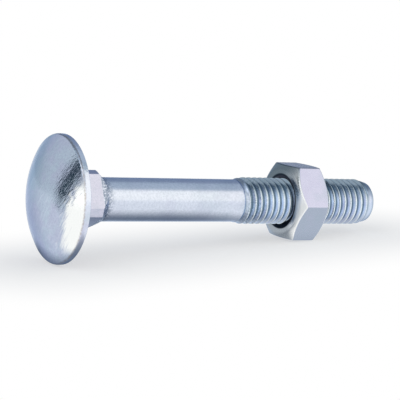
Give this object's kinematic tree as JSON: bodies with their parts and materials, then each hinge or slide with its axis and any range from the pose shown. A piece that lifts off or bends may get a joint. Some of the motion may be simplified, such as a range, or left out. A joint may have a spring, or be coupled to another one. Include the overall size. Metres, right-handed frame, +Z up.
{
  "type": "carriage bolt",
  "caption": "Mushroom-head square-neck bolt with a partly threaded shank and a chamfered hexagon nut, lying on the rim of its head and its nut.",
  "frame": {"origin": "on the table under the middle of the lying bolt: centre of the bounding box's bottom face", "axes": "+X runs the length of the bolt from its head to its tip, tilted down by 5 degrees with the bolt; +Z is up from the table"},
  "size_m": [0.0968, 0.0316, 0.0316],
  "materials": {
    "zinc_bolt": "bright blue-white zinc plating over forged and rolled steel",
    "zinc_nut": "bright blue-white zinc plating over a cold-formed nut"
  },
  "bodies": {
    "bolt": {"bolt": "zinc_bolt"},
    "nut": {"hex_nut": "zinc_nut"}
  },
  "joints": [
    {"name": "nut_travel", "type": "slide", "parent": "bolt", "child": "nut", "axis": [0.9962, 0, -0.0872], "range_m": [-0.0105, 0.028]}
  ]
}
